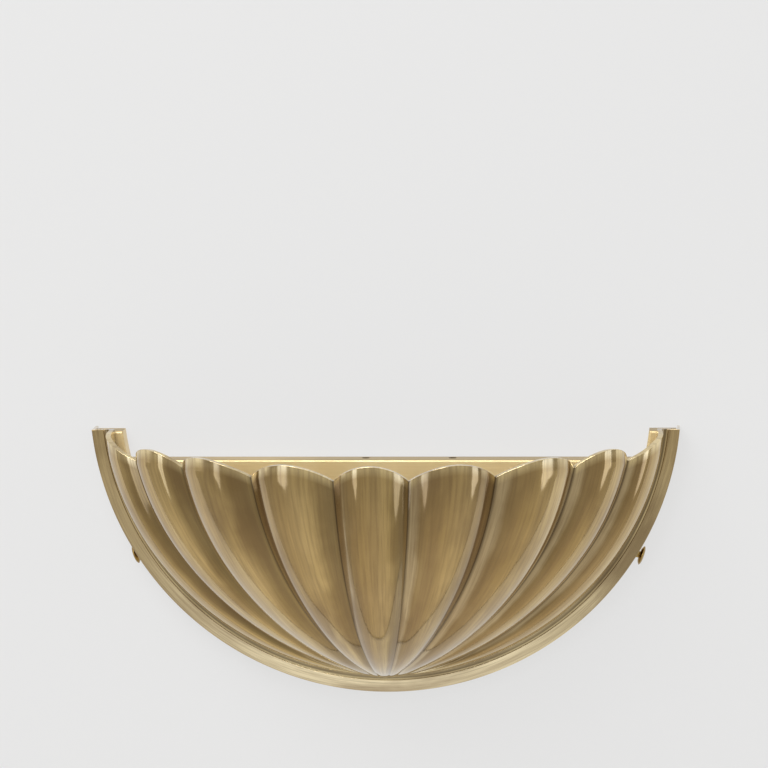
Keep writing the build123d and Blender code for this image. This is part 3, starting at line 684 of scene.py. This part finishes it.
# ---------------------------------------------------------------- thumbscrews
# Two mushroom-headed screws turned from brass bar, polished and lacquered. Each goes through a slot of
# the shell's return into a bush in the pan's side. The right one is turned in less far.
thread_radius = 2.4 * mm
thread_root = thread_radius - 0.4 * mm
thread_pitch = 0.8 * mm
thread_length = 12 * mm
plain_shank = 1.0 * mm
tip_radius = thread_radius - 0.6 * mm
tip_chamfer = 0.3 * mm
first_turn = 0.4 * mm
neck_radius = thread_radius - 0.3 * mm
neck_height = 0.1 * mm  # below the flare
knob_radius = 6.3 * mm
knob_edge = 0.25 * mm
flare_height, flare_curve, flare_steps = 1.35 * mm, 2.2, 12
dome_foot, dome_height, dome_steps = 1.6 * mm, 1.5 * mm, 14
dome_fullness, dome_flatness = 0.7, 1.2
knob_stands = {"left": 0.7 * mm, "right": 1.9 * mm}  # heights of the knobs over the joints' points
lathe_steps = 48
lathe_merge = 0.001 * mm
grits_a_patch = 8


def plain_finish(name, light, dark, metallic, roughness, grit, relief, **sockets):
    """An even finish: two close colours in patches of several grits, and the grit itself in the surface."""
    material = bpy.data.materials.new(name)
    material.use_nodes = True
    tree = material.node_tree
    surface = tree.nodes["Principled BSDF"]
    surface.inputs["Metallic"].default_value = metallic
    for socket, value in sockets.items():
        surface.inputs[socket.replace("_", " ")].default_value = value
    place = add_node(tree, "TexCoord").outputs["Object"]
    patches = add_node(tree, "TexNoise", {"Vector": place, "Scale": 1 / (grits_a_patch * grit), "Detail": 3})
    specks = add_node(tree, "TexNoise", {"Vector": place, "Scale": 1 / grit, "Detail": 2})
    colour = add_node(tree, "Mix", {0: patches.outputs[0], 6: linear(light), 7: linear(dark)},
                      data_type="RGBA")
    rough = add_node(tree, "MapRange", {"Value": patches.outputs[0], "From Min": 0.3, "From Max": 0.7,
                                        "To Min": roughness - 0.04, "To Max": roughness + 0.05})
    bump = add_node(tree, "Bump", {"Height": specks.outputs[0], "Strength": relief, "Distance": grit / 4})
    tree.links.new(colour.outputs[2], surface.inputs["Base Color"])
    tree.links.new(rough.outputs[0], surface.inputs["Roughness"])
    tree.links.new(bump.outputs[0], surface.inputs["Normal"])
    return material


def lathe(outline, origin, axis):
    """Turns an outline of (radius, height) points about an axis."""
    upright = Vector(axis).normalized()
    across = upright.orthogonal().normalized()
    made = bmesh.new()
    points = [made.verts.new(Vector(origin) + across * r + upright * h) for r, h in outline]
    edges = [made.edges.new(pair) for pair in zip(points, points[1:])]
    bmesh.ops.spin(made, geom=points + edges, cent=origin, axis=upright, angle=2 * pi, steps=lathe_steps,
                   use_merge=True)
    bmesh.ops.remove_doubles(made, verts=made.verts, dist=lathe_merge)
    bmesh.ops.recalc_face_normals(made, faces=made.faces)
    return made


# Turned and polished brass: a clear warm mirror, a little clouded by handling.
polished_brass = plain_finish("polished lacquered brass", "#B89C62", "#917843", 1, 0.2, 0.6 * mm, 0.05)
for side in sides:
    stand = knob_stands[side]
    end = stand - thread_length
    outline = [(0, end), (tip_radius, end), (thread_root, end + tip_chamfer)]
    for count in range(int((thread_length - plain_shank) / thread_pitch)):
        turn_foot = end + first_turn + count * thread_pitch
        outline += [(thread_root, turn_foot), (thread_radius, turn_foot + thread_pitch / 2)]
    outline.append((neck_radius, stand - neck_height))
    for step in range(flare_steps + 1):
        share = step / flare_steps
        outline.append((thread_radius + (knob_radius - knob_edge - thread_radius) * share,
                        stand + flare_height * share**flare_curve))
    for step in range(dome_steps + 1):
        angle = pi / 2 * step / dome_steps
        outline.append((knob_radius * cos(angle) ** dome_fullness,
                        stand + dome_foot + dome_height * sin(angle) ** dome_flatness))
    outline[-1] = (0, outline[-1][1])
    turning = joint_named[f"thumbscrew_{side}_turn"]
    node_piece(lathe(outline, turning["pos_m"], turning["axis"]), f"thumbscrew_{side}", f"thumbscrew_{side}",
               polished_brass)


# ---------------------------------------------------------------- strap, bracket and their screws
# The strap is screwed to the wall box and carries the pan. The bracket on the pan carries both lamps, on
# two threaded tubes. All are pressed or turned steel, and the earth screw is passivated green.
def carry_over(nodes, body, material, edge_round=0):
    """Finishes CAD nodes in their own shapes, with their sharp edges eased."""
    for node in nodes:
        made = merged(node)
        if edge_round:
            rounded(made, edge_round, 2)
        node_piece(made, node, body, material)


def left_and_right(name):
    """A piece's two names, left and right."""
    return [f"{name}_{side}" for side in sides]


# Zinc plate: a pale bluish grey with a soft, cloudy shine. The green passivate is thin and glossy.
zinc_steel = plain_finish("zinc-plated steel", "#C9CACB", "#A9ABAE", 1, 0.34, 0.5 * mm, 0.12)
green_screw = plain_finish("green passivated screw", "#2E7A43", "#215C32", 0.6, 0.35, 0.3 * mm, 0.08)
carry_over(["wall_strap", "lamp_bracket"], "wall_frame", zinc_steel, 0.25 * mm)
carry_over(["bracket_screws", "block_screws"], "wall_frame", zinc_steel, 0.15 * mm)
carry_over(["bracket_nuts", *left_and_right("nipple")], "wall_frame", zinc_steel,
           0.2 * mm)
carry_over(["ground_screw"], "wall_frame", green_screw, 0.15 * mm)


# ---------------------------------------------------------------- small brass fittings
# Slotted screws hold the pan, nuts hold the lamp holders, and bushes are riveted in the pan's side for
# the thumbscrews. The holders' screw sleeves and contacts and the block's tubes are bright brass too.
carry_over(["pan_screws", *left_and_right("thumb_bush")], "wall_frame", polished_brass,
           0.2 * mm)
carry_over(left_and_right("nipple_nut"), "wall_frame", polished_brass, 0.3 * mm)
carry_over(["terminal_tubes", *left_and_right("screw_sleeve"), *left_and_right("centre_contact")],
           "wall_frame", polished_brass, 0.1 * mm)


# ---------------------------------------------------------------- lamp holders, block and grommet
# The lamp holders are moulded phenolic, on the bracket's threaded tubes. Their leads go through a rubber
# grommet in the pan to a nylon terminal block, which stands on two spacers behind it.

# Phenolic is a hard black gloss, rubber a dull black with a fine grain, and nylon a soft milky white.
phenolic = plain_finish("black phenolic moulding", "#1D1B1A", "#131211", 0, 0.32, 0.3 * mm, 0.06)
rubber = plain_finish("moulded black rubber", "#222120", "#171615", 0, 0.62, 0.35 * mm, 0.15)
nylon = plain_finish("moulded nylon", "#E4E0D6", "#D3CFC3", 0, 0.42, 0.5 * mm, 0.06, Subsurface_Weight=0.1)
carry_over(left_and_right("lamp_holder"), "wall_frame", phenolic, 0.5 * mm)
carry_over(["cable_grommet"], "wall_frame", rubber, 0.3 * mm)
carry_over(["terminal_block"], "wall_frame", nylon, 0.3 * mm)
carry_over(["block_spacers"], "wall_frame", nylon, 0.2 * mm)


# ---------------------------------------------------------------- lamps
# Two candle lamps lie in the bowl, each a blown glass bulb cemented in a nickel-plated screw cap.
# Etched glass is white and softly translucent, with a silky surface; nickel is a warm pale mirror.
nickel = plain_finish("nickel-plated cap", "#D6D3CC", "#BDB9B0", 1, 0.22, 0.4 * mm, 0.05)
frosted = plain_finish("acid-frosted lamp glass", "#F6F3EC", "#EFEBE2", 0, 0.38, 0.4 * mm, 0.05,
                       Transmission_Weight=0.5)
for side in sides:
    carry_over([f"lamp_cap_{side}"], f"lamp_{side}", nickel, 0.2 * mm)
    carry_over([f"lamp_glass_{side}"], f"lamp_{side}", frosted)


# ---------------------------------------------------------------- leads
# Each holder has two leads in silicone sleeves, which go to the terminal block, and the strap has one
# earth lead. Silicone is a matt cream with a rubbery bloom; the earth's green sleeve is smoother.
lead_sleeve = plain_finish("cream silicone sleeve", "#DDD5C4", "#CCC3B0", 0, 0.45, 0.6 * mm, 0.08)
earth_sleeve = plain_finish("green earth sleeve", "#4E9A3A", "#3F8430", 0, 0.4, 0.6 * mm, 0.05)
carry_over(left_and_right("leads"), "wall_frame", lead_sleeve)
carry_over(["earth_lead"], "wall_frame", earth_sleeve)
